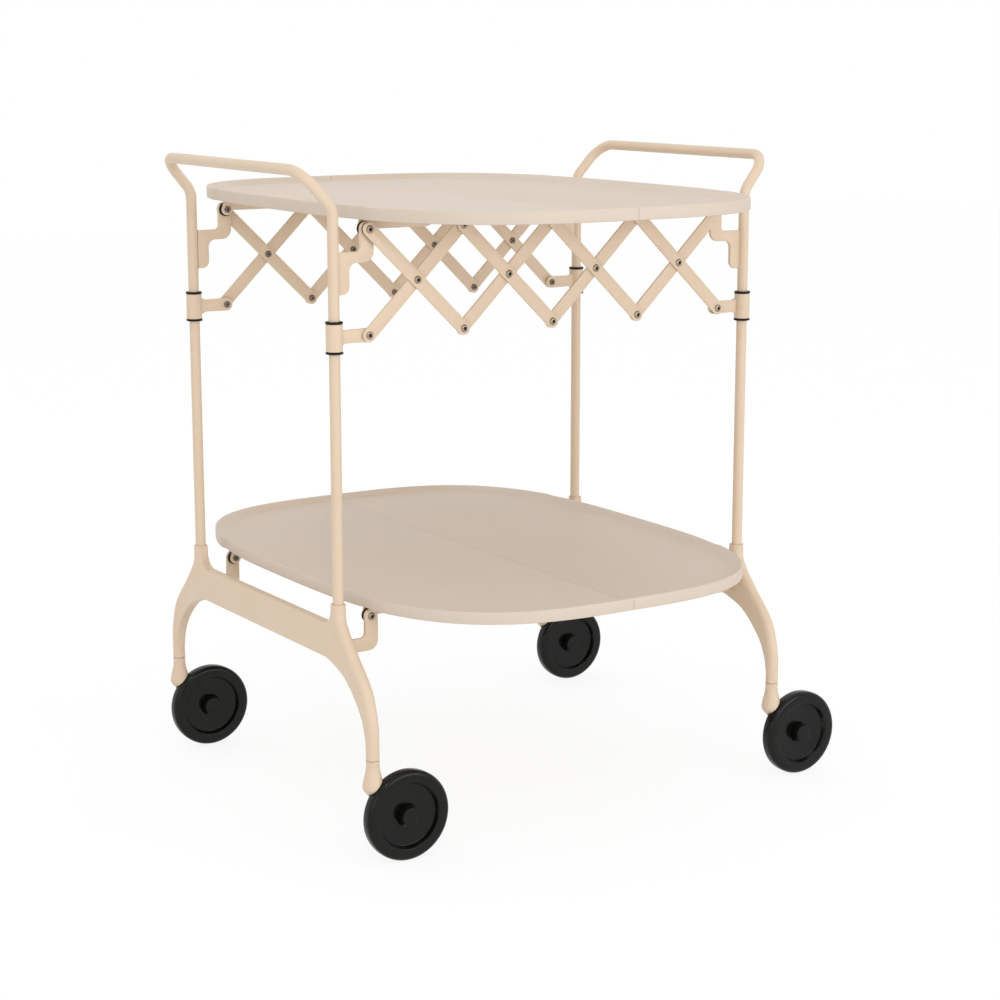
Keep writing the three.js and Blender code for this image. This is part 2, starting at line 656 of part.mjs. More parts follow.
// Everything that belongs to one end, in the left end's places
function buildSide(side) {
  const group = new THREE.Group();
  const isLeft = side === 'left';
  group.rotation.z = isLeft ? 0 : Math.PI;
  trolley.add(group);
  const rowName = (row) => ((row < 0) === isLeft ? 'front' : 'back');
  const paint = () => finish(framePaint, 0.5, 0.1);
  const black = () => finish(blackPlastic, 0.45, 0);
  const steel = () => finish(bareSteel, 0.3, 0.9);

  addPiece(group, `${side}_frame_tube`, frameTube(), paint());
  addPiece(group, `${side}_leg_casting`, legCasting(), paint());
  const midHeight = upperPivotHeight - latticeHeight / 2;
  for (const row of [-1, 1]) {
    const end = `${rowName(row)}_${side}`;
    addPiece(group, `${end}_upper_bracket`, closed(upperBracket()), paint(),
      [pivotX, rowPlace(row, plateInnerFace, plateThickness), upperPivotHeight]);
    addPiece(group, `${end}_collar`, collar(row), paint(), [postX, row * postY, collarHeight]);
    addPiece(group, `${end}_collar_liner`, collarLiner(), black(), [postX, row * postY, collarHeight]);
  }

  // In the front row the falling links lie outside, in the back row the rising ones. From left to right each
  // link has its fittings at its left end, its middle and its right end
  const behindLink = spacerLength + seatGap;
  const behindArm = innerLinkFace - plateInnerFace + seatGap;
  for (const row of [-1, 1]) {
    const front = row < 0;
    const hole = { hole: true };
    const rivet = { head: true, nut: true, reach: behindLink };
    const openOutside = { head: true };
    const openInside = { nut: true, reach: seatGap };
    const outside = (falls) => falls === front;
    const pivot = (falls) => (outside(falls) ? rivet : hole);
    const openPivot = (falls) => (outside(falls) ? openOutside : openInside);
    const bracketEnd = { hole: true, spacer: front };
    const collarEnd = { head: true, nut: true, spacer: !front, reach: behindArm + (front ? 0 : spacerLength) };
    const links = [
      { number: isLeft ? 1 : 7, unit: 0, falls: true, fittings: [bracketEnd, pivot(true), pivot(true)] },
      { number: isLeft ? 2 : 8, unit: 0, falls: false, fittings: [collarEnd, pivot(false), pivot(false)] },
      { number: isLeft ? 3 : 5, unit: 1, falls: false,
        fittings: [pivot(false), pivot(false), openPivot(false)] },
      { number: isLeft ? 4 : 6, unit: 1, falls: true, fittings: [pivot(true), pivot(true), openPivot(true)] },
    ];
    for (const { number, unit, falls, fittings } of links) {
      const face = outside(falls) ? outerLinkFace : innerLinkFace;
      addPiece(group, `${rowName(row)}_lattice_link_${number}`, latticeLink(row, fittings), paint(),
        [pivotX + (unit + 0.5) * unitWidth, row * (postY + face), midHeight], falls ? linkAngle : -linkAngle);
    }
    const end = `${rowName(row)}_${side}`;
    const upperSeat = (front ? outerLinkFace : innerLinkFace) + linkThickness;
    addPiece(group, `${end}_upper_tray_pivot_pin`, trayPivotPin(row, upperSeat), steel(),
      [pivotX, row * postY, upperPivotHeight]);
    addPiece(group, `${end}_lower_tray_pivot_pin`, trayPivotPin(row, plateOuterFace), steel(),
      [pivotX, row * postY, lowerPivotHeight]);
  }

  // Tray halves, each on its carrier
  const trays = [['upper', upperPivotHeight], ['lower', lowerPivotHeight]];
  for (const [level, height] of trays) {
    addPiece(group, `${level}_${side}_tray`, trayHalf(), finish(trayPlastic, 0.45, 0), [0, 0, height]);
    addPiece(group, `${level}_${side}_tray_carrier`, trayCarrier(), paint(), [0, 0, height]);
  }

  // Castors: all four trail towards +X
  for (const row of [-1, 1]) {
    const castor = new THREE.Group();
    castor.position.set(postX, row * (postY + legSplay), 0);
    castor.rotation.z = isLeft ? 0 : Math.PI;
    group.add(castor);
    const name = `${rowName(row)}_${side}`;
    addPiece(castor, `${name}_castor_housing`, castorHousing(), paint());
    addPiece(castor, `${name}_wheel`, castorWheel(), finish(blackRubber, 0.35, 0));
    addPiece(castor, `${name}_axle_cap`, castorAxle(), black());
  }
}

buildSide('left');
buildSide('right');
// The castors reach further right than the grips, so the whole trolley is centred over the origin
trolley.position.x = -(castorTrail + wheelRadius - gripOutreach - tubeRadius) / 2;

export default trolley;
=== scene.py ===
# Folding serving trolley: two painted tube frames on cast legs with castors, two trays that are split
# across the middle, and a scissor lattice at the front and the back. Metres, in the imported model's frame.
import json
from math import asin, atan2, cos, hypot, pi, radians, sin, tan
import bpy
import bmesh
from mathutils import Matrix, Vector


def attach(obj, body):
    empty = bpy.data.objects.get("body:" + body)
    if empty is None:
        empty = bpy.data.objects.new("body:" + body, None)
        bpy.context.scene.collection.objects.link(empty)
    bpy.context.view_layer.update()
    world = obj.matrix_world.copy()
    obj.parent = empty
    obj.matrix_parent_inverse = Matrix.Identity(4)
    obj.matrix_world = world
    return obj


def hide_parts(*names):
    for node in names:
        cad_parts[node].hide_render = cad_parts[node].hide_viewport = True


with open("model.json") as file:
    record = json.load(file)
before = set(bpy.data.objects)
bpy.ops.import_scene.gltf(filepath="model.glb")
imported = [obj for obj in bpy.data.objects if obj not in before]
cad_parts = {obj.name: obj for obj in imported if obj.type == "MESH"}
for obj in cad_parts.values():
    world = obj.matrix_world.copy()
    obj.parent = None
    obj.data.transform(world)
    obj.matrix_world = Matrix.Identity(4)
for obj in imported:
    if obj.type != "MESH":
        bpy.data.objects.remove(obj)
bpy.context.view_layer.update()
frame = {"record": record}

# Camera: a long lens a little above the trays, from the front and well round to the left,
# where the left frame comes nearest.
camera_place = (-1.33225, -2.104, 0.814)
camera_tilt, camera_heading = radians(78.44), radians(-32.74)
lens_length, sensor_width = 80.55, 36
view_depth = 50
bpy.ops.object.camera_add(location=camera_place, rotation=(camera_tilt, 0, camera_heading))
camera = bpy.context.object
camera.name = "camera"
camera.data.lens = lens_length
camera.data.sensor_width = sensor_width
camera.data.clip_end = view_depth
bpy.context.scene.camera = camera
bpy.context.scene.view_settings.view_transform = "Standard"


# Studio: a white floor that keeps a faint shadow and runs into a white surround, so that the trolley
# stands on plain white as in a catalogue picture.
def sees_straight(tree):
    """1 for the camera and for what shows in gloss or glass, 0 for light that falls on things."""
    path = tree.nodes.new("ShaderNodeLightPath")
    seen = path.outputs["Is Camera Ray"]
    for ray in ("Is Glossy Ray", "Is Transmission Ray"):
        either = tree.nodes.new("ShaderNodeMath")
        either.operation = "MAXIMUM"
        tree.links.new(seen, either.inputs[0])
        tree.links.new(path.outputs[ray], either.inputs[1])
        seen = either.outputs[0]
    return seen


floor_size, floor_cuts = 14, 3
card_white, card_roughness = 0.86, 0.9
floor_glow, shadow_share = 1.045, 0.18
ambient_strength = 0.88
aim_height = 0.4
bpy.ops.mesh.primitive_plane_add(size=floor_size, location=(0, 0, 0))
floor = bpy.context.object
floor.name = "studio_floor"
bpy.ops.object.mode_set(mode="EDIT")
bpy.ops.mesh.subdivide(number_cuts=floor_cuts)
bpy.ops.object.mode_set(mode="OBJECT")
floor_white = bpy.data.materials.new("studio_floor_white")
floor_white.use_nodes = True
tree = floor_white.node_tree
card = tree.nodes["Principled BSDF"]
card.inputs["Base Color"].default_value = (card_white, card_white, card_white, 1)
card.inputs["Roughness"].default_value = card_roughness
glow = tree.nodes.new("ShaderNodeEmission")
glow.inputs["Color"].default_value = (1, 1, 1, 1)
glow.inputs["Strength"].default_value = floor_glow
share = tree.nodes.new("ShaderNodeMath")
share.operation = "MULTIPLY"
share.inputs[1].default_value = 1 - shadow_share
tree.links.new(sees_straight(tree), share.inputs[0])
blend = tree.nodes.new("ShaderNodeMixShader")
tree.links.new(share.outputs[0], blend.inputs["Fac"])
tree.links.new(card.outputs["BSDF"], blend.inputs[1])
tree.links.new(glow.outputs["Emission"], blend.inputs[2])
tree.links.new(blend.outputs["Shader"], tree.nodes["Material Output"].inputs["Surface"])
floor.data.materials.append(floor_white)

surround = bpy.data.worlds.new("studio_surround")
bpy.context.scene.world = surround
surround.use_nodes = True
tree = surround.node_tree
ambient = tree.nodes["Background"]
ambient.inputs["Color"].default_value = (1, 1, 1, 1)
ambient.inputs["Strength"].default_value = ambient_strength
backdrop = tree.nodes.new("ShaderNodeBackground")
backdrop.inputs["Color"].default_value = (1, 1, 1, 1)
backdrop.inputs["Strength"].default_value = 1
blend = tree.nodes.new("ShaderNodeMixShader")
tree.links.new(sees_straight(tree), blend.inputs["Fac"])
tree.links.new(ambient.outputs["Background"], blend.inputs[1])
tree.links.new(backdrop.outputs["Background"], blend.inputs[2])
tree.links.new(blend.outputs["Shader"], tree.nodes["World Output"].inputs["Surface"])


def softbox(name, location, width, height, watts):
    """A soft lamp that faces the middle of the trolley."""
    bpy.ops.object.light_add(type="AREA", location=location)
    lamp = bpy.context.object
    lamp.name = name
    lamp.data.shape = "RECTANGLE"
    lamp.data.size, lamp.data.size_y = width, height
    lamp.data.energy = watts
    aim = Vector((0, 0, aim_height)) - lamp.location
    lamp.rotation_euler = aim.to_track_quat("-Z", "Y").to_euler()


softbox("front_softbox", (0.9, -2.6, 0.7), width=1.6, height=1.2, watts=13)
softbox("left_softbox", (-2.1, -2.0, 0.8), width=1.0, height=1.2, watts=5)
softbox("overhead_softbox", (-0.2, 0.3, 2.6), width=2.0, height=2.0, watts=4)
softbox("glint_softbox", (-0.92, -1.44, 1.77), width=0.22, height=0.22, watts=3)


# Frame tubes: one steel tube for each end, bent on a mandrel into two posts that lean outwards at the
# top into a level grip. Each is powder coated all over after bending, in the cream that the castings,
# brackets and links share.
post_x, post_y = 0.2575, 0.162
tube_radius = 0.0057
grip_height, grip_outreach, grip_lean = 0.692, 0.033, 0.004
bend_height, outward_bend, grip_bend = 0.654, 0.022, 0.026
socket_height, socket_depth = 0.2555, 0.022
bend_steps, tube_fineness, tube_smoothing = 16, 7, 60
seam_width = 0.000002
sides = ("left", "right")
left_post = next(joint["pos_m"] for joint in frame["record"]["behaviour"]["joints"]
                 if joint["name"] == "front_left_swivel")
trolley_middle = left_post[0] + post_x
body_of = {node: body for body, nodes in frame["record"]["behaviour"]["bodies"].items() for node in nodes}


def from_screen(red, green, blue):
    """A colour as the screen shows it, from 0 to 255, as Blender's linear values."""
    shares = (value / 255 for value in (red, green, blue))
    return (*(s / 12.92 if s <= 0.04045 else ((s + 0.055) / 1.055) ** 2.4 for s in shares), 1)


def new_unevenness():
    """Slow patches in colour and gloss, and a fine grain that stands up a few microns."""
    group = bpy.data.node_groups.new("fine_unevenness", "ShaderNodeTree")
    for socket, kind in (("Colour", "Color"), ("Patch Colour", "Color"), ("Patch Scale", "Float"),
                         ("Roughness", "Float"), ("Roughness Spread", "Float"), ("Grain Scale", "Float"),
                         ("Grain Height", "Float")):
        group.interface.new_socket(socket, in_out="INPUT", socket_type=f"NodeSocket{kind}")
    for socket, kind in (("Colour", "Color"), ("Roughness", "Float"), ("Normal", "Vector")):
        group.interface.new_socket(socket, in_out="OUTPUT", socket_type=f"NodeSocket{kind}")
    nodes, links = group.nodes, group.links
    given, made = nodes.new("NodeGroupInput"), nodes.new("NodeGroupOutput")
    place = nodes.new("ShaderNodeTexCoord").outputs["Object"]
    patches, grain = nodes.new("ShaderNodeTexNoise"), nodes.new("ShaderNodeTexNoise")
    for noise, scale, detail in ((patches, "Patch Scale", 4), (grain, "Grain Scale", 1)):
        noise.inputs["Detail"].default_value = detail
        links.new(place, noise.inputs["Vector"])
        links.new(given.outputs[scale], noise.inputs["Scale"])
    mix = nodes.new("ShaderNodeMix")
    mix.data_type = "RGBA"
    links.new(patches.outputs["Fac"], mix.inputs["Factor"])
    links.new(given.outputs["Colour"], mix.inputs["A"])
    links.new(given.outputs["Patch Colour"], mix.inputs["B"])
    links.new(mix.outputs["Result"], made.inputs["Colour"])
    gloss = nodes.new("ShaderNodeMath")
    gloss.operation = "MULTIPLY_ADD"
    links.new(patches.outputs["Fac"], gloss.inputs[0])
    links.new(given.outputs["Roughness Spread"], gloss.inputs[1])
    links.new(given.outputs["Roughness"], gloss.inputs[2])
    links.new(gloss.outputs["Value"], made.inputs["Roughness"])
    bump = nodes.new("ShaderNodeBump")
    links.new(grain.outputs["Fac"], bump.inputs["Height"])
    links.new(given.outputs["Grain Height"], bump.inputs["Distance"])
    links.new(bump.outputs["Normal"], made.inputs["Normal"])
    return group


unevenness = new_unevenness()


def finish_of(name, colour, patch_colour, roughness, spread, patch_scale, grain_scale, grain_height):
    """A finish with that unevenness. Scales are in waves per metre and the height in metres."""
    material = bpy.data.materials.new(name)
    material.use_nodes = True
    tree = material.node_tree
    shader = tree.nodes["Principled BSDF"]
    uneven = tree.nodes.new("ShaderNodeGroup")
    uneven.node_tree = unevenness
    for socket, value in (("Colour", colour), ("Patch Colour", patch_colour), ("Roughness", roughness),
                          ("Roughness Spread", spread), ("Patch Scale", patch_scale),
                          ("Grain Scale", grain_scale), ("Grain Height", grain_height)):
        uneven.inputs[socket].default_value = value
    tree.links.new(uneven.outputs["Colour"], shader.inputs["Base Color"])
    tree.links.new(uneven.outputs["Roughness"], shader.inputs["Roughness"])
    tree.links.new(uneven.outputs["Normal"], shader.inputs["Normal"])
    return material


powder_coat = finish_of("powder_coat", from_screen(224, 203, 177), from_screen(219, 196, 169),
                        roughness=0.36, spread=0.1, patch_scale=14, grain_scale=850,
                        grain_height=0.000016)


def pick(*pieces):
    """Let go of everything, then take these, the first as the active one."""
    bpy.ops.object.select_all(action="DESELECT")
    for piece in pieces:
        piece.select_set(True)
    bpy.context.view_layer.objects.active = pieces[0]


def put(piece, place=(0, 0, 0), turn=(0, 0, 0)):
    """Turn a piece, move it and leave both in its mesh."""
    pick(piece)
    piece.rotation_euler, piece.location = turn, place
    bpy.ops.object.transform_apply(location=True, rotation=True, scale=True)
    return piece


def copy_of(piece, name):
    """A copy of a piece, with a mesh of its own."""
    pick(piece)
    bpy.ops.object.duplicate(linked=False)
    twin = bpy.context.object
    twin.name = name
    return twin


def fit(piece, stands_for=None, rides_with=None, half_turn=False):
    """Fit a piece, made about the trolley's own middle, to the body of its CAD node. The right end is the
    left one turned half round."""
    put(piece, (trolley_middle, 0, 0), (0, 0, pi if half_turn else 0))
    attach(piece, body_of[stands_for or rides_with])
    if stands_for:
        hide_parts(stands_for)


def smooth(piece, angle=35):
    """Shade a piece smoothly, and keep the edges that are sharper than the angle."""
    pick(piece)
    bpy.ops.object.shade_smooth_by_angle(angle=radians(angle))


def bent(corners, steps):
    """Points along straight runs with round bends, from corners of (point, bend radius)."""
    points = []
    for i, (corner, radius) in enumerate(corners):
        if not radius:
            points.append(corner)
            continue
        back = (corners[i - 1][0] - corner).normalized()
        on = (corners[i + 1][0] - corner).normalized()
        half = back.angle(on) / 2
        centre = corner + (back + on).normalized() * radius / sin(half)
        start = corner + back * radius / tan(half) - centre
        across = corner + on * radius / tan(half) - centre
        sideways = (across - start * start.dot(across) / radius ** 2).normalized() * radius
        for k in range(steps + 1):
            a = (pi - 2 * half) * k / steps
            points.append(centre + start * cos(a) + sideways * sin(a))
    return points


def rod(name, points, radius, fineness=5):
    """A round bar or tube along those points, as a mesh."""
    curve = bpy.data.curves.new(name, "CURVE")
    curve.dimensions = "3D"
    curve.bevel_depth = radius
    curve.bevel_resolution = fineness
    curve.use_fill_caps = True
    line = curve.splines.new("POLY")
    line.points.add(len(points) - 1)
    for knot, point in zip(line.points, points):
        knot.co = (*point, 1)
    piece = bpy.data.objects.new(name, curve)
    bpy.context.scene.collection.objects.link(piece)
    pick(piece)
    bpy.ops.object.convert(target="MESH")
    piece = bpy.context.object
    clean(piece)
    return piece


def clean(piece):
    """Close the seams of a new mesh and turn its faces outwards."""
    pick(piece)
    bpy.ops.object.mode_set(mode="EDIT")
    bpy.ops.mesh.select_all(action="SELECT")
    bpy.ops.mesh.remove_doubles(threshold=seam_width)
    bpy.ops.mesh.delete_loose(use_verts=True, use_edges=True, use_faces=False)
    bpy.ops.mesh.select_all(action="SELECT")
    bpy.ops.mesh.normals_make_consistent(inside=False)
    bpy.ops.object.mode_set(mode="OBJECT")


grip_y = post_y - grip_lean
tube_foot = socket_height - socket_depth
tube_line = bent([(Vector((-post_x, -post_y, tube_foot)), 0),
                  (Vector((-post_x, -post_y, bend_height)), outward_bend),
                  (Vector((-post_x - grip_outreach, -grip_y, grip_height)), grip_bend),
                  (Vector((-post_x - grip_outreach, grip_y, grip_height)), grip_bend),
                  (Vector((-post_x, post_y, bend_height)), outward_bend),
                  (Vector((-post_x, post_y, tube_foot)), 0)], bend_steps)
frame_tube = rod("bent_frame_tube", tube_line, tube_radius, tube_fineness)
frame_tube.data.materials.append(powder_coat)
smooth(frame_tube, tube_smoothing)
for side in sides:
    fit(copy_of(frame_tube, f"{side}_bent_tube"), f"{side}_frame_tube",
        half_turn=side == "right")
bpy.data.objects.remove(frame_tube)


# Leg castings: a deep crossbeam that runs out into two splayed round legs and up into two sockets,
# cast in one with soft fillets, and painted. A flat bracket for the lower tray stands out of each end of
# the beam.
rows = (-1, 1)
leg_end, leg_splay = 0.109, 0.0675
leg_radius, socket_radius = 0.0071, 0.0076
beam_thickness, beam_top, beam_bottom, beam_fillet = 0.0114, 0.2322, 0.1958, 0.017
plate_thickness, plate_outer = 0.004, 0.0003
pivot_inset, lower_pivot = 0.0385, 0.2375
pivot_x = -post_x + pivot_inset
leg_shares = [(0, 0), (0.02, 0.1), (0.14, 0.2), (0.44, 0.357), (0.7, 0.477), (0.87, 0.588),
              (0.985, 0.767), (1, 0.92), (1, 1)]
web_shares = [(0.94, 1), (0.93, 0.92), (0.83, 0.761), (0.622, 0.625), (0.26, 0.488), (-0.2, 0.415),
              (-0.45, 0.406)]
casting_voxel, casting_overrun, casting_smoothing = 0.0012, 0.004, 40
fillet_strength, fillet_rounds = 0.5, 9
web_edge, plate_edge = 0.0008, 0.0005
socket_swell, socket_root = 0.0002, 0.012
rim_width, rim_depth, cut_tolerance = 0.0004, 0.006, 0.0001


def through(points, steps):
    """An even curve through those points."""
    places = []
    for i in range(len(points) - 1):
        a, b = Vector(points[max(i - 1, 0)]), Vector(points[i])
        c, d = Vector(points[i + 1]), Vector(points[min(i + 2, len(points) - 1)])
        for k in range(steps):
            t = k / steps
            places.append(b + (c - a) / 2 * t + (a - b * 2.5 + c * 2 - d / 2) * t ** 2
                          + ((b - c) * 1.5 + (d - a) / 2) * t ** 3)
    return places + [Vector(points[-1])]


def rounded(corners, steps=8):
    """An outline whose corners, each (x, y, radius), are rounded."""
    points = []
    for i, corner in enumerate(corners):
        here = Vector(corner[:2])
        radius = corner[2] if len(corner) > 2 else 0
        if not radius:
            points.append(here)
            continue
        back = (Vector(corners[i - 1][:2]) - here).normalized()
        on = (Vector(corners[(i + 1) % len(corners)][:2]) - here).normalized()
        half = back.angle(on) / 2
        centre = here + (back + on).normalized() * radius / sin(half)
        start = here + back * radius / tan(half) - centre
        end = here + on * radius / tan(half) - centre
        sweep = atan2(start.x * end.y - start.y * end.x, start.dot(end))
        for k in range(steps + 1):
            a = sweep * k / steps
            points.append(centre + Vector((start.x * cos(a) - start.y * sin(a),
                                           start.x * sin(a) + start.y * cos(a))))
    return points


def plate(name, outline, thickness, edge):
    """A flat piece cut from sheet with its edges broken, lying about z = 0."""
    curve = bpy.data.curves.new(name, "CURVE")
    curve.dimensions = "2D"
    curve.fill_mode = "BOTH"
    curve.extrude = thickness / 2 - edge
    curve.bevel_depth = edge
    curve.bevel_resolution = 1
    curve.offset = -edge
    line = curve.splines.new("POLY")
    line.points.add(len(outline) - 1)
    for knot, point in zip(line.points, outline):
        knot.co = (point[0], point[1], 0, 1)
    line.use_cyclic_u = True
    piece = bpy.data.objects.new(name, curve)
    bpy.context.scene.collection.objects.link(piece)
    pick(piece)
    bpy.ops.object.convert(target="MESH")
    piece = bpy.context.object
    clean(piece)
    return piece


def join(*pieces):
    """Several pieces as one."""
    pick(*pieces)
    bpy.ops.object.join()
    return bpy.context.object


def row_y(row, out):
    """Where a piece stands that is that far out from the plane of the posts."""
    return row * (post_y + out)


def eye(radius):
    """The round top of a plate about a pivot."""
    return [(radius * cos(a * pi / 12), radius * sin(a * pi / 12)) for a in range(13)]


casting_height = socket_height - leg_end
leg_line = through([(post_y + out * leg_splay, socket_height - drop * casting_height)
                    for out, drop in leg_shares], 8)
web_line = through([(post_y + out * leg_splay, socket_height - drop * casting_height)
                    for out, drop in web_shares], 8)
top_fillet = rounded([(0, beam_top), (post_y - socket_radius, beam_top, beam_fillet),
                      (post_y - socket_radius, socket_height)], 10)[1:-1]
half_web = ([Vector((0, beam_top))] + top_fillet + [Vector((post_y - socket_radius, socket_height))]
            + leg_line + [Vector((p.x, min(p.y, beam_bottom))) for p in web_line]
            + [Vector((0, beam_bottom))])
web_outline = half_web + [Vector((-p.x, p.y)) for p in reversed(half_web[1:-1])]
web = put(plate("leg_web", web_outline, beam_thickness, web_edge), (-post_x, 0, 0), (pi / 2, 0, pi / 2))
round_parts = []
for row in rows:
    run = [Vector((-post_x, row * p.x, p.y)) for p in leg_line]
    run[0].z += casting_overrun
    run.append(run[-1] - Vector((0, 0, casting_overrun)))
    round_parts.append(rod("round_leg", run, leg_radius))
    stand = [Vector((-post_x, row * post_y, socket_height + casting_overrun)),
             Vector((-post_x, row * post_y, socket_height - socket_depth - socket_root))]
    round_parts.append(rod("socket", stand, socket_radius + socket_swell))
casting = join(web, *round_parts)
remesh = casting.modifiers.new("cast in one", "REMESH")
remesh.mode = "VOXEL"
remesh.voxel_size = casting_voxel
bpy.ops.object.modifier_apply(modifier=remesh.name)
fillets = casting.modifiers.new("soft fillets", "SMOOTH")
fillets.factor = fillet_strength
fillets.iterations = fillet_rounds
bpy.ops.object.modifier_apply(modifier=fillets.name)
bpy.ops.object.mode_set(mode="EDIT")
bpy.ops.mesh.select_all(action="SELECT")
bpy.ops.mesh.bisect(plane_co=(0, 0, socket_height), plane_no=(0, 0, 1), use_fill=True, clear_outer=True)
bpy.ops.mesh.select_all(action="SELECT")
bpy.ops.mesh.bisect(plane_co=(0, 0, leg_end), plane_no=(0, 0, -1), use_fill=True, clear_outer=True)
bpy.ops.mesh.select_all(action="DESELECT")
cut = bmesh.from_edit_mesh(casting.data)
for face in cut.faces:
    if face.normal.z > 0.99 and face.calc_center_median().z > socket_height - cut_tolerance:
        face.select_set(True)
bmesh.update_edit_mesh(casting.data)
bpy.ops.mesh.inset(thickness=socket_radius - tube_radius - rim_width)
bpy.ops.mesh.extrude_region_move(TRANSFORM_OT_translate={"value": (0, 0, -rim_depth)})
bpy.ops.object.mode_set(mode="OBJECT")
casting.name = "leg_casting"
casting.data.materials.append(powder_coat)
smooth(casting, casting_smoothing)

eye_radius, bracket_drop, lower_arm = 0.0075, 0.022, 0.014
inner_round, outer_round = 0.005, 0.011
plate_y = plate_outer - plate_thickness / 2
lower_outline = rounded([*eye(eye_radius), (-eye_radius, -bracket_drop, inner_round),
                         (-pivot_inset, -bracket_drop), (-pivot_inset, -bracket_drop - lower_arm),
                         (eye_radius, -bracket_drop - lower_arm, outer_round)])
lower_brackets = []
for row in rows:
    lower_brackets.append(put(plate("lower_bracket", lower_outline, plate_thickness, plate_edge),
                              (pivot_x, row_y(row, plate_y), lower_pivot), (pi / 2, 0, 0)))
lower_bracket = join(*lower_brackets)
lower_bracket.data.materials.append(powder_coat)
smooth(lower_bracket)
for side in sides:
    node = f"{side}_leg_casting"
    fit(copy_of(casting, f"{side}_cast_legs"), node, half_turn=side == "right")
    fit(copy_of(lower_bracket, f"{side}_lower_tray_brackets"), rides_with=node,
        half_turn=side == "right")
for pattern in (casting, lower_bracket):
    bpy.data.objects.remove(pattern)


# Upper tray brackets: cranked steel plates, 4 mm thick, welded to the inside of each post and painted
# with the frame.
bracket_arm, tab_width, tab_length, tab_round = 0.011, 0.013, 0.031, 0.008
weld_depth = 0.0006
upper_pivot = 0.633
post_side = -pivot_inset + tube_radius - weld_depth
arm_foot, tab_foot = -bracket_drop - bracket_arm, -bracket_drop - bracket_arm - tab_length
upper_outline = rounded([*eye(eye_radius), (-eye_radius, -bracket_drop, inner_round),
                         (post_side, -bracket_drop), (post_side, tab_foot),
                         (post_side + tab_width, tab_foot, tab_round),
                         (post_side + tab_width, arm_foot, tab_round), (eye_radius, arm_foot, outer_round)])
end_name = {("left", -1): "front_left", ("left", 1): "back_left",
            ("right", -1): "back_right", ("right", 1): "front_right"}
for row in rows:
    bracket = put(plate("upper_bracket", upper_outline, plate_thickness, plate_edge),
                  (pivot_x, row_y(row, plate_y), upper_pivot), (pi / 2, 0, 0))
    bracket.data.materials.append(powder_coat)
    smooth(bracket)
    for side in sides:
        end = end_name[side, row]
        fit(copy_of(bracket, f"{end}_cranked_bracket"), f"{end}_upper_bracket",
            half_turn=side == "right")
    bpy.data.objects.remove(bracket)


# Sliding collars: a painted sleeve round each post with a flat arm towards the lattice. Black plastic
# bushes line it, and their flanges show as a ring above and a ring below.
collar_radius, collar_length = 0.0085, 0.0275
lattice_height = 0.1058
collar_z = upper_pivot - lattice_height
sleeve_edge, sleeve_clearance = 0.0006, 0.0006
arm_end_radius, arm_neck, arm_half_width = 0.007, 0.013, 0.0065
arm_root_height, arm_root_depth, arm_root_round = 0.0095, 0.006, 0.01
flange_radius, flange_thickness, flange_gap = 0.009, 0.0022, 0.0003
flange_inner_round, flange_outer_round = 0.0008, 0.0009
liner_bore, liner_wall = tube_radius + 0.00025, 0.0009
collar_sides = 48
plastic_specular = 0.2
black_plastic = finish_of("black_plastic", from_screen(18, 17, 15), from_screen(13, 12, 11), roughness=0.34,
                          spread=0.12, patch_scale=40, grain_scale=1800, grain_height=0.00002)
shader = black_plastic.node_tree.nodes["Principled BSDF"]
shader.inputs["Specular IOR Level"].default_value = plastic_specular


def turned(name, profile, steps=40):
    """A turned piece: a closed profile of (radius, height, corner radius), spun once round the Z axis."""
    outline = rounded(profile, 4)
    bpy.ops.object.select_all(action="DESELECT")
    bpy.ops.mesh.primitive_circle_add(vertices=len(outline))
    piece = bpy.context.object
    piece.name = name
    for vertex, (radius, height) in zip(piece.data.vertices, outline):
        vertex.co = (max(radius, 0), 0, height)
    bpy.ops.object.mode_set(mode="EDIT")
    bpy.ops.mesh.select_all(action="SELECT")
    bpy.ops.mesh.spin(steps=steps, angle=2 * pi, center=(0, 0, 0), axis=(0, 0, 1))
    bpy.ops.object.mode_set(mode="OBJECT")
    clean(piece)
    return piece


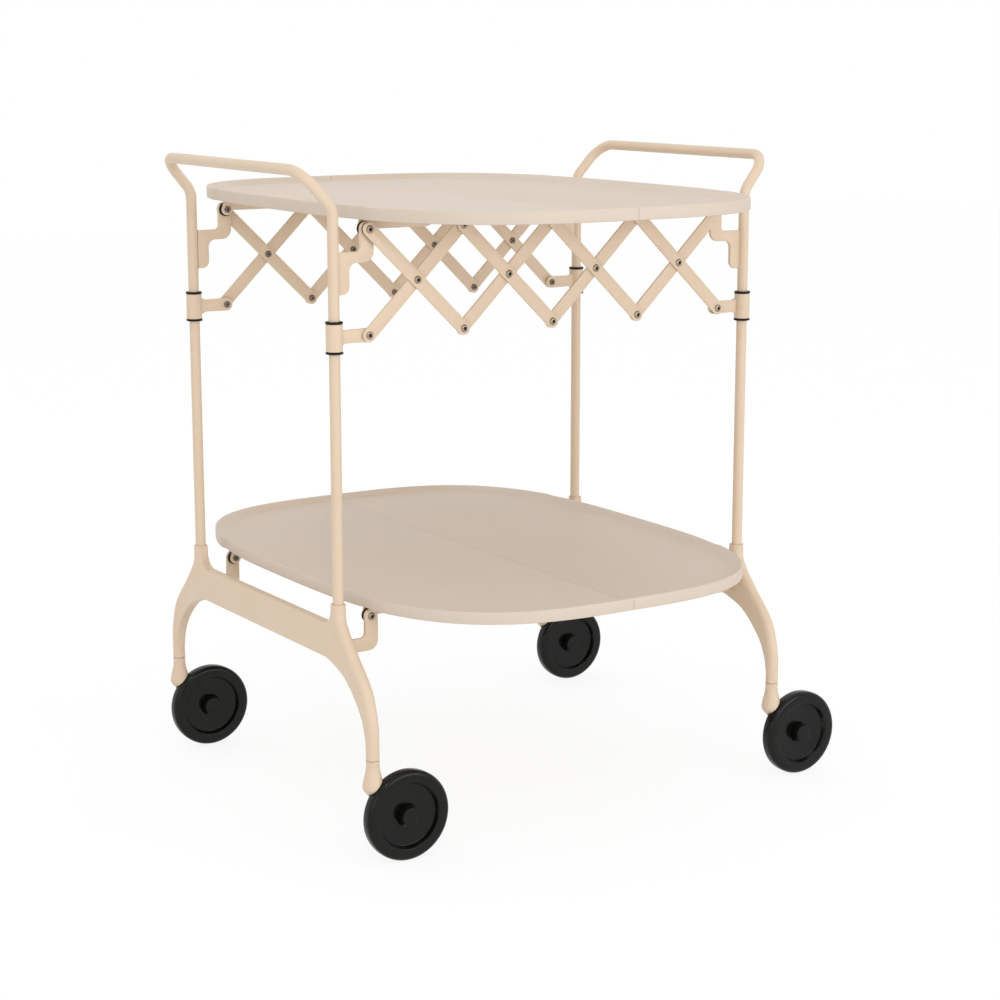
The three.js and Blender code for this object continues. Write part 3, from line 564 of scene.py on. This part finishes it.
half_collar = collar_length / 2
sleeve_bore = liner_bore + sleeve_clearance
near, far = half_collar + flange_gap, half_collar + flange_gap + flange_thickness
arm_end = [(pivot_inset + arm_end_radius * cos(a * pi / 12), arm_end_radius * sin(a * pi / 12))
           for a in range(-6, 7)]
arm_outline = rounded([*arm_end, (arm_neck, arm_half_width, arm_root_round),
                       (arm_root_depth, arm_root_height), (arm_root_depth, -arm_root_height),
                       (arm_neck, -arm_half_width, arm_root_round)])
for row in rows:
    on_post = (-post_x, row * post_y, collar_z)
    sleeve = put(turned("sleeve", [(sleeve_bore, -half_collar), (collar_radius, -half_collar, sleeve_edge),
                                   (collar_radius, half_collar, sleeve_edge), (sleeve_bore, half_collar)],
                        collar_sides), on_post)
    arm = put(plate("collar_arm", arm_outline, plate_thickness, plate_edge),
              (-post_x, row_y(row, plate_y), collar_z), (pi / 2, 0, 0))
    collar = join(sleeve, arm)
    collar.data.materials.append(powder_coat)
    smooth(collar)
    flanges = []
    for up in (-1, 1):
        flanges.append(put(turned("flange", [
            (liner_bore, up * near), (flange_radius, up * near, flange_inner_round),
            (flange_radius, up * far, flange_outer_round), (liner_bore, up * far)], collar_sides), on_post))
    flanges.append(put(turned("bush", [
        (liner_bore, -near), (liner_bore + liner_wall, -near), (liner_bore + liner_wall, near),
        (liner_bore, near)], collar_sides), on_post))
    liner = join(*flanges)
    liner.data.materials.append(black_plastic)
    smooth(liner)
    for side in sides:
        end = end_name[side, row]
        fit(copy_of(collar, f"{end}_sliding_collar"), f"{end}_collar",
            half_turn=side == "right")
        fit(copy_of(liner, f"{end}_collar_bush"), f"{end}_collar_liner",
            half_turn=side == "right")
    for pattern in (collar, liner):
        bpy.data.objects.remove(pattern)


# Lattice links and their screws: flat steel strips with round ends, painted, in two layers that cross.
# Nickel-plated cap screws with a hexagon socket hold each crossing, with a plain tail behind. Black plastic
# spacers fill the gap where an outer link meets a bracket or a collar arm.
link_thickness, link_half_width = 0.0025, 0.007
unit_width = (2 * post_x - 2 * pivot_inset) / 4
link_length, link_angle = hypot(unit_width, lattice_height), atan2(lattice_height, unit_width)
inner_layer, outer_layer = 0.0006, 0.0034
middle_height = upper_pivot - lattice_height / 2
link_edge = 0.0004
head_radius, head_height, head_shoulder, head_sink = 0.004, 0.0018, 0.0007, 0.0002
hexagon_radius, hexagon_floor, head_crown = 0.0019, 0.0004, 0.0015
tail_radius, tail_height, tail_edge, tail_root = 0.0036, 0.0014, 0.0004, 0.0001
dimple_radius, dimple_depth = 0.0015, 0.0003
spacer_radius, spacer_length, spacer_edge = 0.0065, 0.0028, 0.0004
screw_sides, screw_seat = 32, 0.0003
metal_scales = {"patch_scale": 300, "grain_scale": 2600, "grain_height": 0.000008}

nickel = finish_of("nickel_plate", from_screen(182, 168, 151), from_screen(145, 132, 117), roughness=0.18,
                   spread=0.12, **metal_scales)
# Painted shade: the tails take a darker copy of the nickel, for the inner side of the lattice and the
# pivots, which lies in shade.
shaded_tail_nickel = finish_of("nickel_with_painted_shade", from_screen(122, 113, 104), from_screen(94, 87, 79), roughness=0.24,
                       spread=0.14, **metal_scales)
for metal in (nickel, shaded_tail_nickel):
    metal.node_tree.nodes["Principled BSDF"].inputs["Metallic"].default_value = 1
# Painted shade: the hexagon sockets of the heads and the dimples of the tails are coloured near black,
# where these recesses lie in shade. The castor stems take the same colour.
recess_shade = finish_of("painted_recess_shade", from_screen(20, 18, 17), from_screen(12, 11, 10),
                        roughness=0.55, spread=0.1, **metal_scales)

screw_head = turned("screw_head", [
    (0, hexagon_floor), (hexagon_radius - 0.0002, 0.0006), (hexagon_radius, 0.0016, 0.0002),
    (hexagon_radius + 0.0005, head_height, 0.0003), (head_radius - 0.0006, head_crown, 0.0006),
    (head_radius, head_shoulder), (head_radius, -head_sink), (0, -head_sink)], screw_sides)
screw_tail = turned("screw_tail", [
    (0, tail_root), (0, tail_edge - tail_height), (dimple_radius - 0.0002, dimple_depth - tail_height),
    (dimple_radius, -tail_height, 0.0002), (tail_radius - 0.0008, -tail_height, tail_edge),
    (tail_radius, tail_edge - tail_height), (tail_radius, tail_root)], screw_sides)
# Faces inside the socket or dimple radius take the painted shade.
for piece, metal, shade_radius in ((screw_head, nickel, hexagon_radius - 0.00005),
                                  (screw_tail, shaded_tail_nickel, dimple_radius - 0.0001)):
    piece.data.materials.append(metal)
    piece.data.materials.append(recess_shade)
    for face in piece.data.polygons:
        if hypot(face.center.x, face.center.y) < shade_radius:
            face.material_index = 1
spacer = turned("spacer", [(0, 0), (0, -spacer_length), (spacer_radius, -spacer_length, spacer_edge),
                           (spacer_radius, 0, spacer_edge)], screw_sides)
spacer.data.materials.append(black_plastic)
for pattern in (screw_head, screw_tail, spacer):
    smooth(pattern)

link_end = [(link_length / 2 + link_half_width * cos(a * pi / 16), link_half_width * sin(a * pi / 16))
            for a in range(-8, 9)]
strip_outline = link_end + [(-x, -y) for x, y in link_end]
strip = put(plate("strip", strip_outline, link_thickness, link_edge), turn=(pi / 2, 0, 0))
strip.data.materials.append(powder_coat)
smooth(strip)

behind_link = spacer_length + screw_seat
behind_arm = inner_layer + plate_thickness - plate_outer + screw_seat
for side in sides:
    numbers = (1, 2, 3, 4) if side == "left" else (7, 8, 5, 6)
    for row in rows:
        face_out = (pi / 2, 0, 0) if row < 0 else (-pi / 2, 0, 0)
        end_row = end_name[side, row].split("_")[0]
        for number, unit, falls in zip(numbers, (0, 0, 1, 1), (True, False, False, True)):
            outside = falls == (row < 0)
            layer = outer_layer if outside else inner_layer
            slope = link_angle if falls else -link_angle
            heads, tails, spacers = [], [], []
            if outside:
                heads, tails = [0, 1], [(0, behind_link)]
            if outside and unit == 0:
                tails.append((1, behind_link))
            if unit == 0 and falls:
                spacers = [-1] if row < 0 else []
            if unit == 0 and not falls:
                heads.append(-1)
                tails.append((-1, behind_arm + (0 if row < 0 else spacer_length)))
                spacers = [] if row < 0 else [-1]
            if unit == 1:
                heads += [-1] if outside else []
                tails += [(-1, behind_link)] if outside else [(1, screw_seat)]
            name = f"{end_row}_link_{number}"
            place = Vector((pivot_x + (unit + 0.5) * unit_width, row_y(row, layer), middle_height))
            node = f"{end_row}_lattice_link_{number}"
            half_turn = side == "right"
            link = copy_of(strip, f"{name}_strip")
            put(link, (0, row * link_thickness / 2, 0))
            put(link, place, (0, slope, 0))
            fit(link, node, half_turn=half_turn)
            metal, black = [], []
            for station in heads:
                metal.append(put(copy_of(screw_head, "head"),
                                 (station * link_length / 2, row * link_thickness, 0), face_out))
            for station, behind in tails:
                metal.append(put(copy_of(screw_tail, "tail"), (station * link_length / 2, -row * behind, 0),
                                 face_out))
            for station in spacers:
                black.append(put(copy_of(spacer, "spacer"), (station * link_length / 2, 0, 0), face_out))
            for parts, label, slot in ((metal, "screws", "steel"), (black, "spacer", "black_plastic")):
                if parts:
                    whole = join(*parts)
                    whole.name = f"{name}_{label}"
                    put(whole, place, (0, slope, 0))
                    fit(whole, rides_with=node, half_turn=half_turn)
for pattern in (strip, spacer):
    bpy.data.objects.remove(pattern)


# Tray pivots: a long cap screw through bracket and tray arm at each corner of each tray. A thick black
# plastic washer with a fine groove round it keeps the arm clear of the bracket.
washer_thickness, arm_thickness = 0.0044, 0.0024
washer_radius, washer_edge, washer_play, shaft_radius = 0.0075, 0.0006, 0.0001, 0.0022
groove_from, groove_slant, groove_floor = 0.0023, 0.0002, 0.0003
groove_depth, groove_edge = 0.0008, 0.0003
shaft_sides, washer_sides = 20, 40
arm_outer = plate_outer - plate_thickness - washer_thickness
arm_inner = arm_outer - arm_thickness
for level, height in (("upper", upper_pivot), ("lower", lower_pivot)):
    for row in rows:
        face_out = (pi / 2, 0, 0) if row < 0 else (-pi / 2, 0, 0)
        seat = plate_outer
        if level == "upper":
            seat = (outer_layer if row < 0 else inner_layer) + link_thickness
        head_at, tail_at = seat + screw_seat, arm_inner - screw_seat
        shaft = turned("shaft", [(0, tail_at), (shaft_radius, tail_at), (shaft_radius, head_at),
                                 (0, head_at)], shaft_sides)
        shaft.data.materials.append(nickel)
        head = put(copy_of(screw_head, "head"), (0, 0, head_at))
        tail = put(copy_of(screw_tail, "tail"), (0, 0, tail_at))
        screw = join(head, shaft, tail)
        smooth(screw)
        near, far = arm_outer + washer_play, arm_outer + washer_thickness - washer_play
        groove_near = near + groove_from + groove_slant
        groove_far = groove_near + groove_floor
        washer = turned("washer", [
            (shaft_radius, near), (washer_radius, near, washer_edge),
            (washer_radius, near + groove_from, groove_edge), (washer_radius - groove_depth, groove_near),
            (washer_radius - groove_depth, groove_far),
            (washer_radius, groove_far + groove_slant, groove_edge), (washer_radius, far, washer_edge),
            (shaft_radius, far)], washer_sides)
        washer.data.materials.append(black_plastic)
        smooth(washer)
        for piece in (screw, washer):
            put(piece, (pivot_x, row * post_y, height), face_out)
        for side in sides:
            end = end_name[side, row]
            node = f"{end}_{level}_tray_pivot_pin"
            fit(copy_of(screw, f"{end}_{level}_pivot_screw"), node, half_turn=side == "right")
            fit(copy_of(washer, f"{end}_{level}_pivot_washer"), rides_with=node,
                half_turn=side == "right")
        for pattern in (screw, washer):
            bpy.data.objects.remove(pattern)
for pattern in (screw_head, screw_tail):
    bpy.data.objects.remove(pattern)


# Trays: each a shallow moulded dish with a thin rim along its curved sides and a wide soft slope at
# its ends, where the wall steps in by 3 mm. It is cut across the middle, and the halves meet at a hairline.
tray_half_width, tray_half_depth, tray_roundness = 0.238, 0.318, 3.15
skirt_bottom, rim_top = 0.0094, 0.0224
floor_top, floor_bottom = rim_top - 0.0065, rim_top - 0.0095
wall, end_recess = 0.0036, 0.0029
recess_from, recess_to = post_y + 0.0035, post_y + 0.0105
narrow_slope, wide_slope, slope_softness = 0.0036, 0.0165, 0.35
end_from, end_to, slope_from, slope_to = 0.6, 0.95, 0.25, 0.97
rim_points, dense_points, slope_rings = 288, 4000, 10
tray_smoothing = 30
tray_plastic = finish_of("tray_plastic", from_screen(215, 200, 184), from_screen(211, 195, 178),
                         roughness=0.46, spread=0.08, patch_scale=7, grain_scale=1500,
                         grain_height=0.000018)


def ease(low_edge, high_edge, value):
    """0 below the low edge, 1 above the high one, and a soft rise between them."""
    t = min(max((value - low_edge) / (high_edge - low_edge), 0), 1)
    return t * t * (3 - 2 * t)


def rim_line():
    """Even points round the tray's rim, each with its inward direction."""
    dense = []
    for k in range(dense_points):
        a = 2 * pi * k / dense_points
        c, s = cos(a), sin(a)
        dense.append(Vector((tray_half_width * abs(c) ** (2 / tray_roundness) * (1 if c > 0 else -1),
                             tray_half_depth * abs(s) ** (2 / tray_roundness) * (1 if s > 0 else -1))))
    lengths = [0]
    for k in range(dense_points):
        lengths.append(lengths[-1] + (dense[(k + 1) % dense_points] - dense[k]).length)
    even, k = [], 0
    for i in range(rim_points):
        goal = lengths[-1] * i / rim_points
        while lengths[k + 1] < goal:
            k += 1
        share = (goal - lengths[k]) / (lengths[k + 1] - lengths[k])
        even.append(dense[k].lerp(dense[(k + 1) % dense_points], share))
    line = []
    for i, point in enumerate(even):
        along = even[(i + 1) % rim_points] - even[i - 1]
        inward = Vector((-along.y, along.x)).normalized()
        line.append((point, inward))
    return line


def ring_at(line, inset, height, slope_share=0):
    """One ring of the dish: in from the rim by the inset and a share of the slope's width there."""
    ring = []
    for point, inward in line:
        at_end = ease(end_from, end_to, abs(inward.x))
        step_in = end_recess * (1 - ease(recess_from, recess_to, abs(point.y))) * at_end
        slope = narrow_slope + (wide_slope - narrow_slope) * ease(slope_from, slope_to, abs(inward.x))
        at = point + inward * (inset + slope_share * slope)
        at.x -= step_in * (1 if point.x > 0 else -1)
        ring.append((at.x, at.y, height))
    return ring


line = rim_line()
rings = [ring_at(line, wall + 0.002, floor_bottom), ring_at(line, wall, floor_bottom - 0.0008),
         ring_at(line, wall - 0.0004, skirt_bottom + 0.0006), ring_at(line, wall - 0.001, skirt_bottom),
         ring_at(line, 0.0012, skirt_bottom), ring_at(line, 0.0003, skirt_bottom + 0.0004),
         ring_at(line, 0, skirt_bottom + 0.0014), ring_at(line, 0, (skirt_bottom + rim_top) / 2),
         ring_at(line, 0, rim_top - 0.0013), ring_at(line, 0.0002, rim_top - 0.0006),
         ring_at(line, 0.0007, rim_top - 0.0001), ring_at(line, 0.0013, rim_top),
         ring_at(line, 0.0018, rim_top - 0.0002, 0.03)]
for k in range(1, slope_rings):
    t = k / slope_rings
    fall = ease(0, 1, t) * slope_softness + t * (1 - slope_softness)
    rings.append(ring_at(line, 0.002, rim_top - 0.0003 - fall * (rim_top - floor_top - 0.0004), t))
rings += [ring_at(line, 0.0024, floor_top + 0.00005, 1.02), ring_at(line, 0.004, floor_top, 1.04),
          ring_at(line, 0.02, floor_top, 1.1)]
bpy.ops.object.select_all(action="DESELECT")
bpy.ops.mesh.primitive_circle_add(vertices=len(line), fill_type="NGON")
dish = bpy.context.object
for vertex, place in zip(dish.data.vertices, rings[0]):
    vertex.co = place
bpy.ops.object.mode_set(mode="EDIT")
bpy.ops.mesh.select_all(action="SELECT")
for before, ring in zip(rings, rings[1:]):
    bpy.ops.mesh.extrude_region_move()
    shaped = bmesh.from_edit_mesh(dish.data)
    held = {tuple(round(value, 7) for value in place): i for i, place in enumerate(before)}
    for vertex in [v for v in shaped.verts if v.select]:
        vertex.co = ring[held[tuple(round(value, 7) for value in vertex.co)]]
    bmesh.update_edit_mesh(dish.data)
bpy.ops.object.mode_set(mode="OBJECT")
clean(dish)
split_gap, split_edge = 0.0003, 0.0004
halves = {}
for side, sign in (("left", -1), ("right", 1)):
    half = copy_of(dish, f"tray_{side}_half")
    bpy.ops.object.mode_set(mode="EDIT")
    bpy.ops.mesh.select_all(action="SELECT")
    bpy.ops.mesh.bisect(plane_co=(sign * split_gap / 2, 0, 0), plane_no=(-sign, 0, 0), use_fill=True,
                        clear_outer=True)
    bpy.ops.mesh.select_all(action="DESELECT")
    shaped = bmesh.from_edit_mesh(half.data)
    for edge in shaped.edges:
        if all(abs(vertex.co.x - sign * split_gap / 2) < 0.00001 for vertex in edge.verts):
            edge.select_set(True)
    bmesh.update_edit_mesh(half.data)
    bpy.ops.mesh.bevel(offset=split_edge, segments=2, affect="EDGES", clamp_overlap=True)
    bpy.ops.object.mode_set(mode="OBJECT")
    half.data.materials.append(tray_plastic)
    smooth(half, tray_smoothing)
    halves[side] = half
for level, height in (("upper", upper_pivot), ("lower", lower_pivot)):
    for side in sides:
        tray = put(copy_of(halves[side], f"{level}_{side}_tray_dish"), (0, 0, height))
        fit(tray, f"{level}_{side}_tray")
for pattern in (dish, *halves.values()):
    bpy.data.objects.remove(pattern)


# Tray carriers: under each half two steel rails, each deep at its outer part with an eye at the pivot,
# and a knuckle of the middle hinge. A cross strip joins them, and all of it is painted.
arm_eye, arm_length, arm_taper, arm_drop = 0.0064, 0.075, 0.025, 0.001
hinge_height, rail_height, knuckle_radius, rail_edge = 0.005, 0.0032, 0.0032, 0.0004
leaf_length, leaf_width, leaf_edge, leaf_gap = 0.019, 0.0097, 0.0003, 0.0052
hinge_pin_radius, hinge_pin_length, hinge_play = 0.0015, 0.0145, 0.0003
strip_from, strip_to, strip_round = 0.032, 0.016, 0.001
rail_top = floor_bottom - 0.0003
rail_bottom = rail_top - rail_height
eye_sweep = pi - asin(arm_drop / arm_eye)
eye_arc = [(pivot_x + arm_eye * cos(pi + eye_sweep * k / 20), arm_eye * sin(pi + eye_sweep * k / 20))
           for k in range(21)]
knuckle_arc = [pi + pi * k / 12 for k in range(13)]
knuckle = [(knuckle_radius * cos(a), hinge_height + knuckle_radius * sin(a)) for a in knuckle_arc]
underside = [*eye_arc, (pivot_x + arm_length, -arm_drop), (pivot_x + arm_length + arm_taper, rail_bottom)]
arm_shoulder = (pivot_x - arm_eye + 0.004, rail_top)
plain_end = -knuckle_radius - 0.002
hinge_end = [(-knuckle_radius, rail_bottom), *knuckle, (-hinge_play, rail_top)]
pinned_outline = [*underside, *hinge_end, arm_shoulder]
plain_outline = [*underside, (plain_end, rail_bottom), (plain_end, rail_top), arm_shoulder]
rail_y = post_y + arm_inner + arm_thickness / 2
pinned = put(plate("pinned_rail", pinned_outline, arm_thickness, rail_edge), (0, -rail_y, 0),
             (pi / 2, 0, 0))
plain = put(plate("plain_rail", plain_outline, arm_thickness, rail_edge), (0, rail_y, 0), (pi / 2, 0, 0))
leaf_outline = [(-leaf_length, rail_bottom), *hinge_end, (-leaf_length, rail_top)]
leaf = put(plate("hinge_leaf", leaf_outline, leaf_width, leaf_edge), (0, post_y + arm_inner - leaf_gap, 0),
           (pi / 2, 0, 0))
hinge_pin = put(turned("hinge_pin", [
    (0, 0), (0, hinge_pin_length), (hinge_pin_radius, hinge_pin_length, rail_edge), (hinge_pin_radius, 0)],
    shaft_sides), (0, -rail_y, hinge_height), (-pi / 2, 0, 0))
strip_outline = rounded([(-strip_from, -rail_y, strip_round), (-strip_to, -rail_y, strip_round),
                         (-strip_to, rail_y, strip_round), (-strip_from, rail_y, strip_round)], 3)
cross_strip = put(plate("cross_strip", strip_outline, rail_height, rail_edge),
                  (0, 0, rail_top - rail_height / 2))
carrier = join(pinned, plain, leaf, hinge_pin, cross_strip)
carrier.data.materials.append(powder_coat)
smooth(carrier)
for level, height in (("upper", upper_pivot), ("lower", lower_pivot)):
    for side in sides:
        piece = put(copy_of(carrier, f"{level}_{side}_carrier_rails"), (0, 0, height))
        fit(piece, f"{level}_{side}_tray_carrier", half_turn=side == "right")
bpy.data.objects.remove(carrier)


# Castors: a cast drop-shaped housing, painted, that swivels on a steel stem in the leg. One arm goes
# down behind the wheel to the axle, so that the wheel stands free on the front side.
wheel_radius, castor_trail, swivel_gap = 0.0474, 0.0338, 0.0007
housing_top, housing_length = leg_end - 0.0007, 0.039
wheel_back = 0.00095
arm_front = wheel_back - swivel_gap
arm_depth, boss_radius, boss_drop, castor_arm_edge = 0.006, 0.009, 0.026, 0.0012
neck_radius, neck_length, neck_edge = 0.0069, 0.004, 0.0004
stem_radius, stem_root, stem_height, stem_sides = 0.004, 0.002, 0.012, 24
cut_reach, housing_sides = 0.05, 56
skirt = through([(neck_radius, 0), (neck_radius, 0.006), (0.0074, 0.0105), (0.0088, 0.0165),
                 (0.0103, 0.0235), (0.0107, 0.0272), (0.0101, 0.0303), (0.0071, 0.0345), (0.0034, 0.0379),
                 (0, housing_length)], 6)
body = turned("drop", [(0, housing_top, 0), *[(p.x, housing_top - p.y) for p in skirt][1:-1],
                       (0, housing_top - housing_length)], housing_sides)
neck = turned("neck", [(0, housing_top - neck_length), (neck_radius, housing_top - neck_length),
                       (neck_radius, housing_top, neck_edge), (0, housing_top)], housing_sides)
boss_z = housing_top - boss_drop
boss_angle = atan2(wheel_radius - boss_z, castor_trail)
arm_outline = []
for x, z, start in ((castor_trail, wheel_radius, boss_angle - pi / 2), (0, boss_z, boss_angle + pi / 2)):
    arm_outline += [(x + boss_radius * cos(start + pi * k / 16), z + boss_radius * sin(start + pi * k / 16))
                    for k in range(17)]
arm = put(plate("castor_arm", arm_outline, arm_depth, castor_arm_edge), (0, -arm_front + arm_depth / 2, 0),
          (pi / 2, 0, 0))
cut_radius = wheel_radius + swivel_gap
wheel_space = put(turned("wheel_space", [(0, arm_front), (cut_radius, arm_front), (cut_radius, cut_reach),
                                         (0, cut_reach)], 96),
                  (castor_trail, 0, wheel_radius), (pi / 2, 0, 0))
housing = join(body, neck, arm)
cut = housing.modifiers.new("wheel space", "BOOLEAN")
cut.operation = "DIFFERENCE"
cut.object = wheel_space
cut.solver = "EXACT"
cut.use_self = True
bpy.ops.object.modifier_apply(modifier=cut.name)
bpy.data.objects.remove(wheel_space)
housing.data.materials.clear()
housing.data.materials.append(powder_coat)
smooth(housing)
stem_low, stem_high = housing_top - stem_root, housing_top + stem_height
stem = turned("stem", [(0, stem_low), (stem_radius, stem_low), (stem_radius, stem_high), (0, stem_high)],
              stem_sides)
# Painted shade: the stem takes the near-black recess colour, so that the thin gap between leg end and
# housing shows dark.
stem.data.materials.append(recess_shade)


# Castor wheels: black moulded wheels with a hard rubber tread, dished on the outside round the hub,
# with a rounded glossy shoulder. Fine turning marks run round the face. A plastic cap covers the axle.
wheel_front = 0.01545
tyre_specular, mark_scale, mark_detail, mark_height = 0.23, 1400, 2, 0.000006
bore_radius, hub_radius, wheel_sides, wheel_smoothing = 0.0033, 0.0125, 128, 40
back_dish_radius, back_dish_depth, back_shoulder = 0.0305, 0.0025, 0.0032
dish_radius, dish_depth, hub_depth, front_shoulder = 0.0348, 0.0055, 0.0058, 0.0047
dish_floor = wheel_front - 0.0063
wheel = turned("wheel", [
    (bore_radius, wheel_back + back_dish_depth), (back_dish_radius, wheel_back + back_dish_depth, 0.001),
    (back_dish_radius + 0.003, wheel_back, 0.0012), (wheel_radius, wheel_back, back_shoulder),
    (wheel_radius, wheel_front, front_shoulder), (dish_radius, wheel_front, 0.0012),
    (dish_radius - 0.0026, wheel_front - dish_depth, 0.0014), (hub_radius, wheel_front - hub_depth, 0.001),
    (hub_radius - 0.001, dish_floor), (bore_radius, dish_floor)], wheel_sides)
radius_from_axle = wheel.data.attributes.new("radius_from_axle", "FLOAT", "POINT")
for vertex, mark in zip(wheel.data.vertices, radius_from_axle.data):
    mark.value = hypot(vertex.co.x, vertex.co.y)
tyre = finish_of("tyre_black", from_screen(15, 15, 12), from_screen(11, 11, 9), roughness=0.1, spread=0.1,
                 patch_scale=60, grain_scale=1500, grain_height=0.000003)
tree = tyre.node_tree
shader = tree.nodes["Principled BSDF"]
shader.inputs["Specular IOR Level"].default_value = tyre_specular
radius_read = tree.nodes.new("ShaderNodeAttribute")
radius_read.attribute_name = "radius_from_axle"
circles = tree.nodes.new("ShaderNodeTexNoise")
circles.noise_dimensions = "1D"
circles.inputs["Scale"].default_value = mark_scale
circles.inputs["Detail"].default_value = mark_detail
tree.links.new(radius_read.outputs["Fac"], circles.inputs["W"])
marks = tree.nodes.new("ShaderNodeBump")
marks.inputs["Distance"].default_value = mark_height
tree.links.new(circles.outputs["Fac"], marks.inputs["Height"])
tree.links.new(shader.inputs["Normal"].links[0].from_socket, marks.inputs["Normal"])
tree.links.new(marks.outputs["Normal"], shader.inputs["Normal"])
wheel.data.materials.append(tyre)
smooth(wheel, wheel_smoothing)
put(wheel, (castor_trail, 0, wheel_radius), (pi / 2, 0, 0))

cap_radius, cap_front, cap_edge = 0.01, wheel_front + 0.0035, 0.0012
axle_radius, nut_radius, nut_height, nut_edge = 0.003, 0.005, 0.0014, 0.0006
arm_back = arm_front - arm_depth - screw_seat
cap_seat = wheel_front - hub_depth
nut_end = arm_back - nut_height
cap = turned("cap", [(0, cap_seat), (cap_radius, cap_seat), (cap_radius, cap_front, cap_edge),
                     (0, cap_front)], housing_sides)
axle = turned("axle", [(0, cap_seat), (0, arm_back), (axle_radius, arm_back), (axle_radius, cap_seat)],
              screw_sides)
nut = turned("nut", [(0, arm_back), (0, nut_end), (nut_radius, nut_end, nut_edge), (nut_radius, arm_back)],
             screw_sides)
axle_cap = join(cap, axle, nut)
axle_cap.data.materials.append(black_plastic)
smooth(axle_cap)
put(axle_cap, (castor_trail, 0, wheel_radius), (pi / 2, 0, 0))
for across, side in ((-1, "left"), (1, "right")):
    for row, end_row in ((-1, "front"), (1, "back")):
        corner = (across * post_x, row * (post_y + leg_splay), 0)
        end = f"{end_row}_{side}"
        for pattern, name, slot, node in ((housing, "swivel_housing", "frame_paint", "castor_housing"),
                                          (wheel, "castor_tyre", "wheel_rubber", "wheel"),
                                          (axle_cap, "hub_cap", "black_plastic", "axle_cap")):
            fit(put(copy_of(pattern, f"{end}_{name}"), corner), f"{end}_{node}")
        fit(put(copy_of(stem, f"{end}_castor_stem"), corner), rides_with=f"{end}_castor_housing")
for pattern in (housing, wheel, axle_cap, stem):
    bpy.data.objects.remove(pattern)
